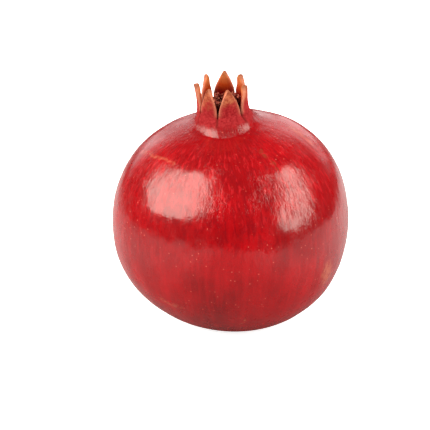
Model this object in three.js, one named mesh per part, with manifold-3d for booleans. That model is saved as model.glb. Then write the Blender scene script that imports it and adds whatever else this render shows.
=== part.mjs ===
// A whole fresh pomegranate, standing on its stem end with its seven-lobed crown up.
//
// Units are millimetres, +Z is up and -Y is the front. The origin is on the table, under the middle
// of the fruit's bounding box. The rind, the neck and the crown's lobes grew as one, so they are one
// solid. The dried stamens and the style inside the crown and the cut stem stub are solids of their own.
//
// Every shape is first made straight and round about the Z axis, with the fruit's equator at EQUATOR_Z.
// grow() then gives the fruit its uneven, leaning growth, and a group leans what stands in the crown.
// A "turn" is an angle about Z in degrees, 0 at the front and positive towards +X.
import * as THREE from "three";
import { mergeVertices } from "three/addons/utils/BufferGeometryUtils.js";
import Module from "manifold-3d";

const wasm = await Module();
wasm.setup();

const { clamp, degToRad, euclideanModulo, lerp, radToDeg, smoothstep } = THREE.MathUtils;

// ---- driving dimensions of the fruit
const FRUIT_RADIUS = 48.1;
const HEIGHT = { above: 43.2, below: 44 }; // of the dome, over and under the equator
const EQUATOR_Z = 42.9; // less than HEIGHT.below, which cuts the dome to the flat spot it rests on
const FULLNESS = 2.14; // exponent of the outline: 2 is an ellipse, more is squarer
const FULLER_SIDE = 0.04; // added to the exponent towards +X, taken off towards -X
const REST_RADII = [5.2, 11.8]; // inner and outer edge of the flat ring it rests on
const HOLLOW = { depth: 2.0, floorRadius: 3.4 }; // where the stem grew

// ---- driving dimensions of the crown
const COLLAR_RADIUS = 15.8; // where the neck starts to rise out of the dome
const NECK = { radius: 10.5, z: 87.4, waist: 0.3, flare: 0.15 };
const NOTCH_Z = 89.5;
const TIP_Z = 101.3;
const WALL = { neck: 2.3, tip: 1.5 };
const CUP = { floorZ: 84.0, cornerRadius: 3.2 };
const TIP_WIDTH = 0.6;
const SLIT_WIDTH = 0.6; // between neighbouring lobes at the bottom of a notch
const LOBE_POINT = 1.62; // exponent of a lobe's outline: 1 is a straight-sided triangle

// Each lobe: the turn of the notch before it, the turn of its tip, how far the tip rises above or
// below TIP_Z, and how far it curls outwards.
const LOBES = [
  { notch: -60, tip: -30, rise: 0.4, curl: 0.0 },
  { notch: -13, tip: 17, rise: -0.4, curl: -0.2 },
  { notch: 44, tip: 76, rise: -1.6, curl: 0.0 },
  { notch: 100, tip: 127, rise: -0.2, curl: 0.1 },
  { notch: 148, tip: 171, rise: 0.3, curl: 0.0 },
  { notch: 204, tip: 215, rise: 0.3, curl: 0.1 },
  { notch: 243, tip: 279, rise: 0.6, curl: 0.1 },
];
const PITCH = 360 / LOBES.length;

// ---- uneven growth
const RIBS = { count: 6, phase: 25, depth: 0.45 };
const SWELLINGS = [
  { count: 2, phase: 35, depth: 0.35 },
  { count: 3, phase: -60, depth: 0.3 },
];
const BOW = { above: -0.1, below: 1.6 }; // how far each end of the fruit's axis bows towards +X
const LEAN = new THREE.Vector2(-3.5, 0); // degrees that the top leans towards +X and +Y
const NOD = new THREE.Vector2(-1.8, -4); // degrees that the neck and crown lean further

// ---- fineness of the facets
const ROUND_STEPS = 70;
const DOME_STEPS = 22;

// ---- stamens, style and stub
const STAMEN = { radius: 0.26, anther: [0.62, 0.5, 0.9], sides: 5, steps: 4 };
const WHORLS = [
  // number, radius and height of the feet, height of the anthers, how far the filaments lean inwards
  { number: 15, radius: 7.2, footZ: 87.0, topZ: 93.2, inwards: 1.5 },
  { number: 11, radius: 4.9, footZ: 84.6, topZ: 93.8, inwards: 0.7 },
  { number: 7, radius: 2.9, footZ: 84.5, topZ: 92.8, inwards: 0.2 },
];
const STYLE = { footRadius: 1.0, neckRadius: 0.45, stigmaRadius: 0.8, footZ: 84.35, topZ: 92.8 };
const STUB = { radius: 2.7, bottomZ: 0.5, topZ: 1.65 };

// How far a height is up or down the dome, from -1 to 1, and the dome's radius there.
function riseAt(z) {
  const height = z < EQUATOR_Z ? HEIGHT.below : HEIGHT.above;
  return clamp((z - EQUATOR_Z) / height, -1, 1);
}

function domeRadiusAt(rise, fullness) {
  const steep = Math.min(Math.abs(rise), 0.98); // the crown stands where the outline would close
  return FRUIT_RADIUS * (1 - steep ** fullness) ** (1 / fullness);
}

// A point of the dome's outline, from an angle that runs evenly along it.
function domeAt(angle) {
  const rise = Math.sign(angle) * Math.abs(Math.sin(angle)) ** (2 / FULLNESS);
  const height = rise < 0 ? HEIGHT.below : HEIGHT.above;
  return [FRUIT_RADIUS * Math.cos(angle) ** (2 / FULLNESS), EQUATOR_Z + height * rise];
}

const COLLAR_ANGLE = Math.acos((COLLAR_RADIUS / FRUIT_RADIUS) ** (FULLNESS / 2));
const COLLAR_Z = domeAt(COLLAR_ANGLE)[1];

// The wall of the neck and crown at a height: its outer radius and its thickness.
function crownWall(z) {
  const up = (z - NECK.z) / (TIP_Z - NECK.z);
  const outer = NECK.radius - NECK.waist * Math.sin(Math.PI * Math.min(up, 1)) + NECK.flare * up ** 3;
  return { outer, thickness: lerp(WALL.neck, WALL.tip, up) };
}

// The fruit's outline from the stem end up the outside, over the rim and down into the crown's cup.
function fruitOutline() {
  const points = [];
  const add = (radius, z) => points.push(new THREE.Vector2(radius, z));
  const addCurve = (curve, steps) => curve.getPoints(steps).slice(1).forEach((p) => points.push(p));

  add(0, HOLLOW.depth);
  add(HOLLOW.floorRadius, HOLLOW.depth);
  add(lerp(HOLLOW.floorRadius, REST_RADII[0], 0.55), HOLLOW.depth * 0.55);
  add(REST_RADII[0], 0);
  add(REST_RADII[1], 0);

  const low = -Math.asin((EQUATOR_Z / HEIGHT.below) ** (FULLNESS / 2));
  for (let step = 1; step <= DOME_STEPS; step++) {
    add(...domeAt(lerp(low, COLLAR_ANGLE, step / DOME_STEPS)));
  }

  const collar = points.at(-1);
  const neckFoot = new THREE.Vector2(crownWall(NECK.z).outer, NECK.z);
  const corner = new THREE.Vector2(neckFoot.x + 0.5, collar.y + 1.3);
  addCurve(new THREE.QuadraticBezierCurve(collar, corner, neckFoot), 6);

  const wallSteps = 6;
  for (let step = 1; step <= wallSteps; step++) {
    const z = lerp(NECK.z, TIP_Z, step / wallSteps);
    add(crownWall(z).outer, z);
  }
  for (let step = wallSteps; step >= 0; step--) {
    const z = lerp(NECK.z, TIP_Z, step / wallSteps);
    const { outer, thickness } = crownWall(z);
    add(outer - thickness, z);
  }
  const cupRadius = points.at(-1).x;
  addCurve(
    new THREE.QuadraticBezierCurve(
      new THREE.Vector2(cupRadius, CUP.floorZ + CUP.cornerRadius),
      new THREE.Vector2(cupRadius, CUP.floorZ),
      new THREE.Vector2(cupRadius - CUP.cornerRadius, CUP.floorZ),
    ),
    3,
  );
  add(0, CUP.floorZ);
  return points;
}

// A three.js geometry as a manifold-3d solid, and back.
function toSolid(geometry) {
  const bare = geometry.clone();
  bare.deleteAttribute("normal");
  bare.deleteAttribute("uv");
  const merged = mergeVertices(bare, 1e-4);
  return new wasm.Manifold(
    new wasm.Mesh({
      numProp: 3,
      vertProperties: new Float32Array(merged.attributes.position.array),
      triVerts: new Uint32Array(merged.index.array),
    }),
  );
}

function toGeometry(solid) {
  const mesh = solid.getMesh();
  const geometry = new THREE.BufferGeometry();
  geometry.setAttribute("position", new THREE.BufferAttribute(mesh.vertProperties, 3));
  geometry.setIndex(new THREE.BufferAttribute(mesh.triVerts, 1));
  geometry.computeVertexNormals();
  return geometry;
}

// A round shape about Z from an outline of (radius, z) points that starts and ends on the axis.
function turned(outline, steps = ROUND_STEPS) {
  return new THREE.LatheGeometry(outline, steps).rotateX(Math.PI / 2);
}

// Half the width of a lobe, at a share of the way down from its tip.
function lobeHalfWidth(down) {
  const widest = (Math.PI * NECK.radius) / LOBES.length - SLIT_WIDTH / 2;
  return lerp(TIP_WIDTH / 2, widest, 1 - (1 - down) ** LOBE_POINT);
}

// The space between two neighbouring lobes: a pointed arch upside down, pushed out through the wall.
function notchCutter(turn) {
  const halfPitch = (Math.PI * NECK.radius) / LOBES.length;
  const rows = 7;
  const side = [];
  for (let row = 0; row <= rows; row++) {
    const down = 1 - row / rows;
    side.push([halfPitch - lobeHalfWidth(down), lerp(TIP_Z, NOTCH_Z, down)]);
  }
  side.push([side.at(-1)[0], TIP_Z + 3]);
  const arch = new THREE.Shape([
    ...side.map(([across, z]) => new THREE.Vector2(across, z)),
    ...side.map(([across, z]) => new THREE.Vector2(-across, z)).reverse(),
  ]);
  const inside = 4;
  const reach = 12;
  const cutter = new THREE.ExtrudeGeometry(arch, { depth: reach, bevelEnabled: false });
  cutter.rotateX(Math.PI / 2).translate(0, -inside, 0).rotateZ(degToRad(turn));
  return toSolid(cutter);
}

// How far round from its even place the notch before a lobe grew, in degrees.
function notchDrift(number) {
  const laps = Math.floor(number / LOBES.length);
  const { notch } = LOBES[number - laps * LOBES.length];
  return notch + 360 * laps - (LOBES[0].notch + PITCH * number);
}

// Leans a point about a place on the axis, by degrees towards +X and +Y.
function lean(point, pivotZ, degrees) {
  const axis = new THREE.Vector3(-degrees.y, degrees.x, 0).normalize();
  point.z -= pivotZ;
  point.applyAxisAngle(axis, degToRad(degrees.length()));
  point.z += pivotZ;
}

// The lean and the bow of the fruit's own axis, and the further nod of its neck and crown.
function bend(point, nodShare) {
  lean(point, COLLAR_Z, NOD.clone().multiplyScalar(nodShare));
  const rise = riseAt(point.z);
  lean(point, EQUATOR_Z, LEAN.clone().multiplyScalar(smoothstep(rise, 0.1, 0.9)));
  point.x += (rise < 0 ? BOW.below : BOW.above) * rise ** 4;
  return point;
}

// Moves a point of the straight, round fruit to where uneven growth puts it.
function grow(point) {
  const turn = Math.atan2(point.x, -point.y);
  const radius = Math.hypot(point.x, point.y);
  const rise = riseAt(point.z);
  const inCup = rise > 0 && radius < NECK.radius - 1;
  const neckShare = inCup ? 1 : smoothstep(point.z, COLLAR_Z, NECK.z);

  const ribShare = smoothstep(rise, -0.9, 0.2) * (1 - smoothstep(rise, 0.86, 0.97));
  const wave = ({ count, phase, depth }) => depth * Math.cos(count * turn + degToRad(phase));
  let grown = radius + wave(RIBS) * ribShare;
  grown += SWELLINGS.reduce((sum, swelling) => sum + wave(swelling), 0) * (1 - rise ** 4) * (radius > 20);
  const fuller = domeRadiusAt(rise, FULLNESS + FULLER_SIDE * Math.sin(turn)) / domeRadiusAt(rise, FULLNESS);
  grown *= lerp(fuller, 1, Math.max(neckShare, smoothstep(rise, 0.8, 0.93)));

  const lobeUp = clamp((point.z - NOTCH_Z) / (TIP_Z - NOTCH_Z), 0, 1);
  const place = euclideanModulo(radToDeg(turn) - LOBES[0].notch, 360) / PITCH;
  const number = Math.min(Math.floor(place), LOBES.length - 1);
  const lobe = LOBES[number];
  grown += lobe.curl * lobeUp ** 2;
  const [driftBefore, driftAfter] = [notchDrift(number), notchDrift(number + 1)];
  const middle = LOBES[0].notch + PITCH * (number + 0.5) + (driftBefore + driftAfter) / 2;
  const drift = lerp(driftBefore, driftAfter, smoothstep(place - number, 0, 1));
  const angle = turn + degToRad(drift * neckShare + (lobe.tip - middle) * lobeUp);

  point.set(grown * Math.sin(angle), -grown * Math.cos(angle), point.z + lobe.rise * lobeUp);
  return bend(point, neckShare);
}

function makeFruit() {
  let solid = toSolid(turned(fruitOutline()));
  LOBES.forEach((_, number) => {
    solid = solid.subtract(notchCutter(LOBES[0].notch + PITCH * number));
  });
  const geometry = toGeometry(solid);
  const places = geometry.getAttribute("position");
  const point = new THREE.Vector3();
  for (let i = 0; i < places.count; i++) {
    grow(point.fromBufferAttribute(places, i));
    places.setXYZ(i, point.x, point.y, point.z);
  }
  geometry.computeVertexNormals();
  return geometry;
}

// A filament from its foot at the origin up to its anther, leaning along -X, with a slight curl.
function makeStamen({ height, inwards, curl }) {
  const route = new THREE.CatmullRomCurve3([
    new THREE.Vector3(0, 0, 0),
    new THREE.Vector3(-inwards * 0.15, curl * 0.5, height * 0.35),
    new THREE.Vector3(-inwards * 0.5, curl, height * 0.7),
    new THREE.Vector3(-inwards, curl * 0.4, height),
  ]);
  const section = new THREE.Shape(
    Array.from({ length: STAMEN.sides }, (_, side) => {
      const angle = (2 * Math.PI * side) / STAMEN.sides;
      return new THREE.Vector2(STAMEN.radius * Math.cos(angle), STAMEN.radius * Math.sin(angle));
    }),
  );
  const filament = new THREE.ExtrudeGeometry(section, { extrudePath: route, steps: STAMEN.steps });
  const anther = new THREE.SphereGeometry(1, 6, 5).scale(...STAMEN.anther);
  const end = route.getPoint(1);
  anther.translate(end.x, end.y, end.z);
  return toGeometry(toSolid(filament).add(toSolid(anther)));
}

function makeStyle() {
  const { footRadius, neckRadius, stigmaRadius, footZ, topZ } = STYLE;
  const height = topZ - footZ;
  const outline = [
    [0, 0],
    [footRadius, 0],
    [neckRadius, height * 0.25],
    [neckRadius, height * 0.8],
    [stigmaRadius, height * 0.88],
    [stigmaRadius * 0.8, height * 0.97],
    [0, height],
  ];
  return turned(outline.map(([radius, z]) => new THREE.Vector2(radius, z)), 12);
}

function makeStub() {
  const height = STUB.topZ - STUB.bottomZ;
  const outline = [
    [0, 0],
    [STUB.radius * 0.9, 0],
    [STUB.radius, height * 0.3],
    [STUB.radius * 0.94, height],
    [0, height],
  ];
  return turned(outline.map(([radius, z]) => new THREE.Vector2(radius, z)), 24);
}

// ---- materials
const rind = new THREE.MeshStandardMaterial({ color: 0xb8101c, roughness: 0.35, metalness: 0 });
const driedStamen = new THREE.MeshStandardMaterial({ color: 0x7a3a24, roughness: 0.8, metalness: 0 });
const driedStyle = new THREE.MeshStandardMaterial({ color: 0x5c2a1a, roughness: 0.8, metalness: 0 });
const wood = new THREE.MeshStandardMaterial({ color: 0x8a6a45, roughness: 0.9, metalness: 0 });

function named(name, geometry, material) {
  const mesh = new THREE.Mesh(geometry, material);
  mesh.name = name;
  return mesh;
}

// ---- the scene graph
const pomegranate = new THREE.Group();
const fruit = named("fruit", makeFruit(), rind);
pomegranate.add(fruit);

// What stands in the crown's cup leans with it.
const inCrown = new THREE.Group();
const foot = bend(new THREE.Vector3(0, 0, CUP.floorZ), 1);
const above = bend(new THREE.Vector3(0, 0, TIP_Z), 1);
inCrown.position.copy(foot);
inCrown.quaternion.setFromUnitVectors(new THREE.Vector3(0, 0, 1), above.sub(foot).normalize());
pomegranate.add(inCrown);

const style = named("style", makeStyle(), driedStyle);
style.position.z = STYLE.footZ - CUP.floorZ;
inCrown.add(style);

let stamenCount = 0;
WHORLS.forEach(({ number, radius, footZ, topZ, inwards }, whorl) => {
  for (let i = 0; i < number; i++) {
    stamenCount += 1;
    const uneven = Math.sin(7 * stamenCount); // from -1 to 1, a little different for each stamen
    const height = topZ - footZ + 0.6 * uneven;
    const geometry = makeStamen({ height, inwards, curl: 0.5 * Math.sin(5 * stamenCount) });
    const stamen = named("stamen_" + String(stamenCount).padStart(2, "0"), geometry, driedStamen);
    const turn = degToRad((360 * (i + 0.3 * whorl)) / number + 4 * uneven);
    stamen.position.set(radius * Math.cos(turn), radius * Math.sin(turn), footZ - CUP.floorZ);
    stamen.rotation.z = turn;
    inCrown.add(stamen);
  }
});

const stub = named("stem_stub", makeStub(), wood);
stub.position.copy(bend(new THREE.Vector3(0, 0, STUB.bottomZ), 0));
pomegranate.add(stub);

// The origin goes to the table, under the middle of the fruit.
const box = new THREE.Box3().setFromObject(fruit);
const middle = box.getCenter(new THREE.Vector3());
pomegranate.position.set(-middle.x, -middle.y, -box.min.z);

export default pomegranate;
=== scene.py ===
# %% [markdown]
# # A whole pomegranate, standing on its stem end
# A pomegranate is a berry with a thick leathery rind. The flower's sepals stay on it and dry into a
# crown, and inside the crown stand the flower's withered stamens. This lesson starts from the packed
# CAD model, which fixes where everything is, and grows a finer fruit round it: one piece for the rind
# with its neck and crown, and a piece for each stamen, the style and the cut stem.

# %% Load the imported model
import math
import random

import bmesh
import bpy
from mathutils import Matrix, Vector, noise
from mathutils.bvhtree import BVHTree


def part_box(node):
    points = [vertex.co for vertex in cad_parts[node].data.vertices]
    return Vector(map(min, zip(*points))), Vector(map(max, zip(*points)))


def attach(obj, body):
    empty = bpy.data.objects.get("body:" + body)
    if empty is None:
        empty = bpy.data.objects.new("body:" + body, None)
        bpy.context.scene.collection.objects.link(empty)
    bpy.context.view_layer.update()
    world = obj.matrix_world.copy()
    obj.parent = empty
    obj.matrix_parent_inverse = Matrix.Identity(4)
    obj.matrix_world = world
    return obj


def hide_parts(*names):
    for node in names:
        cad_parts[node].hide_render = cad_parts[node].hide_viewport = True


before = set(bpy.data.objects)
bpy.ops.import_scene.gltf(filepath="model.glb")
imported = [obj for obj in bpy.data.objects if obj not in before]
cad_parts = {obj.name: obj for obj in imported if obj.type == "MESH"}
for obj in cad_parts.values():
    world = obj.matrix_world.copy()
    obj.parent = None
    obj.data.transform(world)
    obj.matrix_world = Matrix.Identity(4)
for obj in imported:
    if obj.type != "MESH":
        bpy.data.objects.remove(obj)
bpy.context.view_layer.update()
MM = 0.001
fruit_low, fruit_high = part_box("fruit")
print("CAD fruit, mm:", [round(side / MM, 1) for side in fruit_high - fruit_low])

# %% [markdown]
# ## The rind's outline
# The rind could be sculpted from a ball, but a fruit that grew round a stalk is close to a turned
# shape, so it starts as an outline that is spun. The outline runs up from the hollow at the stem end,
# out over the flat ring that the fruit rests on, up the dome, and into the neck. It is drawn straight
# and even, in millimetres; the lean and the lumps come afterwards. The numbers are those of the CAD
# model.

# %% Sizes of the dome and the crown
DOME_RADIUS = 48.1
DOME_ABOVE, DOME_BELOW = 43.2, 44.0
EQUATOR_Z = 42.9
FULLNESS = 2.14
REST_RING = (5.2, 11.8)
HOLLOW_DEPTH, HOLLOW_FLOOR = 2.0, 3.4
COLLAR_RADIUS = 15.8
NECK_RADIUS, NECK_Z, NECK_WAIST, NECK_FLARE = 10.5, 87.4, 0.3, 0.35
NOTCH_Z, TIP_Z = 89.5, 101.3
WALL_NECK, WALL_TIP, WALL_SPARE = 2.3, 2.6, 0.45
CUP_FLOOR_Z, CUP_CORNER = 84.0, 3.2

def mix(a, b, share):
    return a + (b - a) * share

def clamp(value, low=0.0, high=1.0):
    return max(low, min(high, value))

def ease(value, low, high):
    share = clamp((value - low) / (high - low))
    return share * share * (3 - 2 * share)

def dome_point(angle):
    """A point (radius, height) on the dome; the angle is 0 at the equator."""
    rise = math.copysign(abs(math.sin(angle)) ** (2 / FULLNESS), angle)
    height = DOME_BELOW if rise < 0 else DOME_ABOVE
    return DOME_RADIUS * math.cos(angle) ** (2 / FULLNESS), EQUATOR_Z + height * rise

def crown_wall(z):
    """Outer radius and thickness of the neck and the crown at a height."""
    up = clamp((z - NECK_Z) / (TIP_Z - NECK_Z))
    outer = NECK_RADIUS - NECK_WAIST * math.sin(math.pi * up) + NECK_FLARE * up ** 3
    return outer, mix(WALL_NECK, WALL_TIP, up) - WALL_SPARE * math.sin(math.pi * up)

def bend_between(start, corner, end, steps):
    """Points of a smooth curve that leaves start towards corner and arrives at end from it."""
    shares = [(step + 1) / steps for step in range(steps)]
    return [
        tuple((1 - t) ** 2 * a + 2 * t * (1 - t) * b + t * t * c for a, b, c in zip(start, corner, end))
        for t in shares
    ]

# %% The outline from the stem end to the bottom of the cup
DOME_ROWS, LOBE_ROWS = 74, 14

def rind_outline():
    inner_ring, outer_ring = REST_RING
    points = [(0, HOLLOW_DEPTH), (HOLLOW_FLOOR / 2, HOLLOW_DEPTH), (HOLLOW_FLOOR, HOLLOW_DEPTH * 0.97)]
    points += [(4.3, HOLLOW_DEPTH * 0.6), (4.8, HOLLOW_DEPTH * 0.25), (inner_ring, 0)]
    points += [(mix(inner_ring, outer_ring, share), 0) for share in (0.25, 0.5, 0.75, 1)]
    low = -math.asin((EQUATOR_Z / DOME_BELOW) ** (FULLNESS / 2))
    high = math.acos((COLLAR_RADIUS / DOME_RADIUS) ** (FULLNESS / 2))
    points += [dome_point(mix(low, high, (row + 1) / DOME_ROWS)) for row in range(DOME_ROWS)]
    neck_foot = (crown_wall(NECK_Z)[0], NECK_Z)
    points += bend_between(points[-1], (neck_foot[0] + 0.5, points[-1][1] + 1.3), neck_foot, 9)
    points += [(crown_wall(z)[0], z) for z in (88.1, 88.8)]
    lobe_heights = [mix(NOTCH_Z, TIP_Z - 1.1, row / LOBE_ROWS) for row in range(LOBE_ROWS + 1)]
    points += [(crown_wall(z)[0], z) for z in lobe_heights]
    outer, wall = crown_wall(TIP_Z)
    rounding = [(0.04, -0.6), (0.15, -0.27), (0.34, -0.06)]
    points += [(outer - wall * inset, TIP_Z + drop) for inset, drop in rounding]
    points += [(outer - wall * (1 - inset), TIP_Z + drop) for inset, drop in reversed(rounding)]
    points += [(crown_wall(z)[0] - crown_wall(z)[1], z) for z in reversed(lobe_heights)]
    cup_radius = crown_wall(NOTCH_Z)[0] - WALL_NECK
    points += [(cup_radius - 0.1, z) for z in (88.9, 88.3, 87.7)]
    points += bend_between((cup_radius - 0.1, CUP_FLOOR_Z + CUP_CORNER), (cup_radius - 0.1, CUP_FLOOR_Z),
                           (cup_radius - CUP_CORNER, CUP_FLOOR_Z), 5)
    points += [(3.4, CUP_FLOOR_Z), (1.7, CUP_FLOOR_Z), (0, CUP_FLOOR_Z)]
    return points

outline = rind_outline()
print("outline points:", len(outline))

# %% [markdown]
# ## Spinning the rind and parting the lobes
# The crown has seven lobes. The number of columns is a multiple of seven, so a column can be taken
# out where each notch comes, on the outer wall, over the rim and down the inner wall. Bridging the two
# cut edges closes each lobe's side again and leaves one closed skin, with no boolean and no slivers.

# %% The lobes, as in the CAD model
LOBES = [
    {"notch": -60, "sill": 1.2, "tip": -30, "rise": 0.4, "curl": 0.0},
    {"notch": -13, "sill": 0.0, "tip": 17, "rise": -0.4, "curl": -0.2},
    {"notch": 44, "sill": -0.6, "tip": 76, "rise": -1.6, "curl": 0.0},
    {"notch": 100, "sill": 0.0, "tip": 127, "rise": -0.2, "curl": 0.1},
    {"notch": 148, "sill": 1.5, "tip": 171, "rise": 0.3, "curl": 0.0},
    {"notch": 204, "sill": 1.3, "tip": 215, "rise": 0.3, "curl": 0.1},
    {"notch": 243, "sill": 1.0, "tip": 279, "rise": 0.6, "curl": 0.1},
]
PITCH = 360 / len(LOBES)
LOBE_COLUMNS = 24
COLUMNS = LOBE_COLUMNS * len(LOBES)

def turn_of(point):
    """The angle about Z in degrees, 0 at the front (-Y) and growing towards +X."""
    return math.degrees(math.atan2(point.x, -point.y))

def lobe_place(turn):
    """The lobe that a turn falls in, and how far across it, from 0 to 1."""
    place = ((turn - LOBES[0]["notch"]) % 360) / PITCH
    number = min(int(place), len(LOBES) - 1)
    return number, place - number

def spin_outline(points, columns, start_turn=0.0):
    """A closed bmesh turned from (radius, height) points that start and end on the axis."""
    bm = bmesh.new()
    start = math.radians(start_turn)
    row = [bm.verts.new((radius * math.sin(start), -radius * math.cos(start), z)) for radius, z in points]
    edges = [bm.edges.new(pair) for pair in zip(row, row[1:])]
    bmesh.ops.spin(bm, geom=row + edges, cent=(0, 0, 0), axis=(0, 0, 1), angle=math.tau, steps=columns,
                   use_merge=True, use_duplicate=False)
    bmesh.ops.remove_doubles(bm, verts=bm.verts, dist=1e-4)
    bmesh.ops.recalc_face_normals(bm, faces=bm.faces)
    return bm

rind = spin_outline(outline, COLUMNS, LOBES[0]["notch"] - 180 / COLUMNS)
print("spun faces:", len(rind.faces))

# %% Cut the notches and close the lobes' sides
def in_crown(point, slack=0.01):
    return point.z > NOTCH_Z - slack and math.hypot(point.x, point.y) < NECK_RADIUS + 1

def from_notch(turn):
    """Turn to the nearest notch, in columns."""
    across = lobe_place(turn)[1]
    return (across if across < 0.5 else across - 1) * LOBE_COLUMNS

def middle_of_wall(z):
    outer, wall = crown_wall(z)
    return outer - wall / 2

def over_notch(face):
    middle = face.calc_center_median()
    return in_crown(middle, 0) and abs(from_notch(turn_of(middle))) < 0.5

notch_faces = [face for face in rind.faces if over_notch(face)]
bmesh.ops.delete(rind, geom=notch_faces, context="FACES")

def on_one_wall(edge):
    """True on a cut edge that runs up the outer or the inner wall, not over the rim or along the notch."""
    sides = {math.hypot(v.co.x, v.co.y) > middle_of_wall(v.co.z) for v in edge.verts}
    upright = len({from_notch(turn_of(v.co)) > 0 for v in edge.verts}) == 1
    return upright and len(sides) == 1

def cut_side(edge):
    """The notch that a cut edge belongs to, and whether it is on the notch's far side."""
    turn = turn_of(edge.verts[0].co)
    return round(((turn - LOBES[0]["notch"]) % 360) / PITCH) % len(LOBES), from_notch(turn) > 0

cut_edges = [edge for edge in rind.edges if edge.is_boundary and on_one_wall(edge)]
for number in range(len(LOBES)):
    for after in (False, True):
        side = [edge for edge in cut_edges if cut_side(edge) == (number, after)]
        bmesh.ops.bridge_loops(rind, edges=side)
bmesh.ops.holes_fill(rind, edges=[edge for edge in rind.edges if edge.is_boundary], sides=4)
bmesh.ops.recalc_face_normals(rind, faces=rind.faces)
print("open edges left:", sum(edge.is_boundary for edge in rind.edges))
print("volume, ml:", round(rind.calc_volume() / 1000))

# %% [markdown]
# ## Shaping the lobes
# Each lobe is a pointed arch. Deleting faces to that outline would leave a ragged stair, so the
# columns are squeezed together instead: every vertex keeps its share of the lobe's width, and the
# width shrinks along the arch towards the tip. A subdivision surface then rounds the cut edges, as
# the edges of a thick dried sepal are.

# %% Squeeze the columns of each lobe into an arch
LOBE_POINT = 1.76
SLIT_WIDTH, TIP_WIDTH = 0.5, 0.38

def lobe_half_width(z):
    """Half of a lobe's width at a height, in mm round the neck."""
    down = clamp((TIP_Z - z) / (TIP_Z - NOTCH_Z))
    widest = math.pi * NECK_RADIUS / len(LOBES) - SLIT_WIDTH / 2
    blunt = TIP_WIDTH / 2 * min(1, 0.35 + (down * 11) ** 0.5)
    return max(blunt, mix(TIP_WIDTH / 2, widest, 1 - (1 - down) ** LOBE_POINT))

def turned_about_axis(point, degrees):
    return Matrix.Rotation(math.radians(degrees), 3, "Z") @ point

full_half = math.pi * NECK_RADIUS / len(LOBES)
for vert in rind.verts:
    if in_crown(vert.co):
        number, across = lobe_place(turn_of(vert.co))
        share = (across - 0.5) * 2 * LOBE_COLUMNS / (LOBE_COLUMNS - 1)
        wanted = share * lobe_half_width(vert.co.z) / full_half * PITCH / 2
        outer, wall = crown_wall(vert.co.z)
        radius = math.hypot(vert.co.x, vert.co.y)
        depth = clamp((outer - radius) / wall) * wall
        thinned = depth * 0.55 * abs(share) ** 4 * ease(vert.co.z, NOTCH_Z - 0.5, NOTCH_Z + 1.5)
        thinned *= 1 - ease(vert.co.z, TIP_Z - 5, TIP_Z - 1.5)
        vert.co = turned_about_axis(vert.co, wanted - (across - 0.5) * PITCH)
        vert.co.xy *= (radius + thinned) / radius

def mesh_from(bm, name):
    mesh = bpy.data.meshes.new(name)
    bm.to_mesh(mesh)
    bm.free()
    return mesh

def smoothed(mesh, levels):
    """The mesh after a Subdivision Surface modifier, as a new bmesh."""
    holder = bpy.data.objects.new("holder", mesh)
    bpy.context.scene.collection.objects.link(holder)
    modifier = holder.modifiers.new("smooth", "SUBSURF")
    modifier.levels = modifier.render_levels = levels
    bpy.context.view_layer.update()
    shown = holder.evaluated_get(bpy.context.evaluated_depsgraph_get())
    bm = bmesh.new()
    bm.from_mesh(shown.to_mesh())
    bpy.data.objects.remove(holder)
    return bm

rind = smoothed(mesh_from(rind, "rind_cage"), 1)
print("rind faces after smoothing:", len(rind.faces))

# %% [markdown]
# ## Uneven growth
# No fruit is round. Its axis leans and bows, six faint ribs follow the chambers of seeds inside, and
# one side is fuller. The same rules as in the CAD model are applied to every vertex, and then finer
# lumps are added that the CAD model leaves out: soft dents on the dome, folds that run out from the
# neck, and wrinkles along the dry lobes. Before a vertex moves, what it belongs to is noted as an
# attribute, so the finish can follow the growth. At the front the shoulder sinks a little and the
# neck's foot spreads over it into a cone, which is seven-sided, with a ridge under each notch. Every
# notch also has its own height, and its sill is raised or lowered with the neck under it.

# %% Growth shared with the CAD model
RIBS = (6, 25, 0.45)
SWELLINGS = [(2, 35, 0.35), (3, -60, 0.3)]
FULLER_SIDE = 0.04
BOW_ABOVE, BOW_BELOW = -0.1, 1.6
LEAN, NOD = Vector((-3.5, 0)), Vector((-1.8, -4))
CONE = {"turn": 2, "radius": 10.9, "z": 89.3, "slope": 1.03, "drop": 1.7}
COLLAR_Z = dome_point(math.acos((COLLAR_RADIUS / DOME_RADIUS) ** (FULLNESS / 2)))[1]

def rise_at(z):
    return clamp((z - EQUATOR_Z) / (DOME_BELOW if z < EQUATOR_Z else DOME_ABOVE), -1, 1)

def fullness_radius(rise, fullness):
    return (1 - min(abs(rise), 0.98) ** fullness) ** (1 / fullness)

def wave(turn, count, phase, depth):
    return depth * math.cos(math.radians(count * turn + phase))

def leaned(point, pivot_z, degrees):
    if degrees.length < 1e-9:
        return point
    axis = Vector((-degrees.y, degrees.x, 0)).normalized()
    pivot = Vector((0, 0, pivot_z))
    return Matrix.Rotation(math.radians(degrees.length), 3, axis) @ (point - pivot) + pivot

def bent(point, nod_share):
    """The lean and the bow of the fruit's axis, and the further nod of its neck and crown."""
    point = leaned(point, COLLAR_Z, NOD * nod_share)
    rise = rise_at(point.z)
    point = leaned(point, EQUATOR_Z, LEAN * ease(rise, 0.1, 0.9))
    point.x += (BOW_BELOW if rise < 0 else BOW_ABOVE) * rise ** 4
    return point

def notch_drift(number):
    laps, lobe = divmod(number, len(LOBES))
    return LOBES[lobe]["notch"] + 360 * laps - (LOBES[0]["notch"] + PITCH * number)

def facing_front(turn):
    return (0.5 + 0.5 * math.cos(math.radians(turn - CONE["turn"]))) ** 2.5

def neck_spread(turn, radius, z):
    """The neck's foot spreads into a cone, most of all at the front: how far out it goes at a height."""
    short = CONE["radius"] + (CONE["z"] - z) / CONE["slope"] - radius
    return facing_front(turn) * (short + math.hypot(short, 0.5)) / 2 * (1 - ease(radius, 17, 22))

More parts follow.
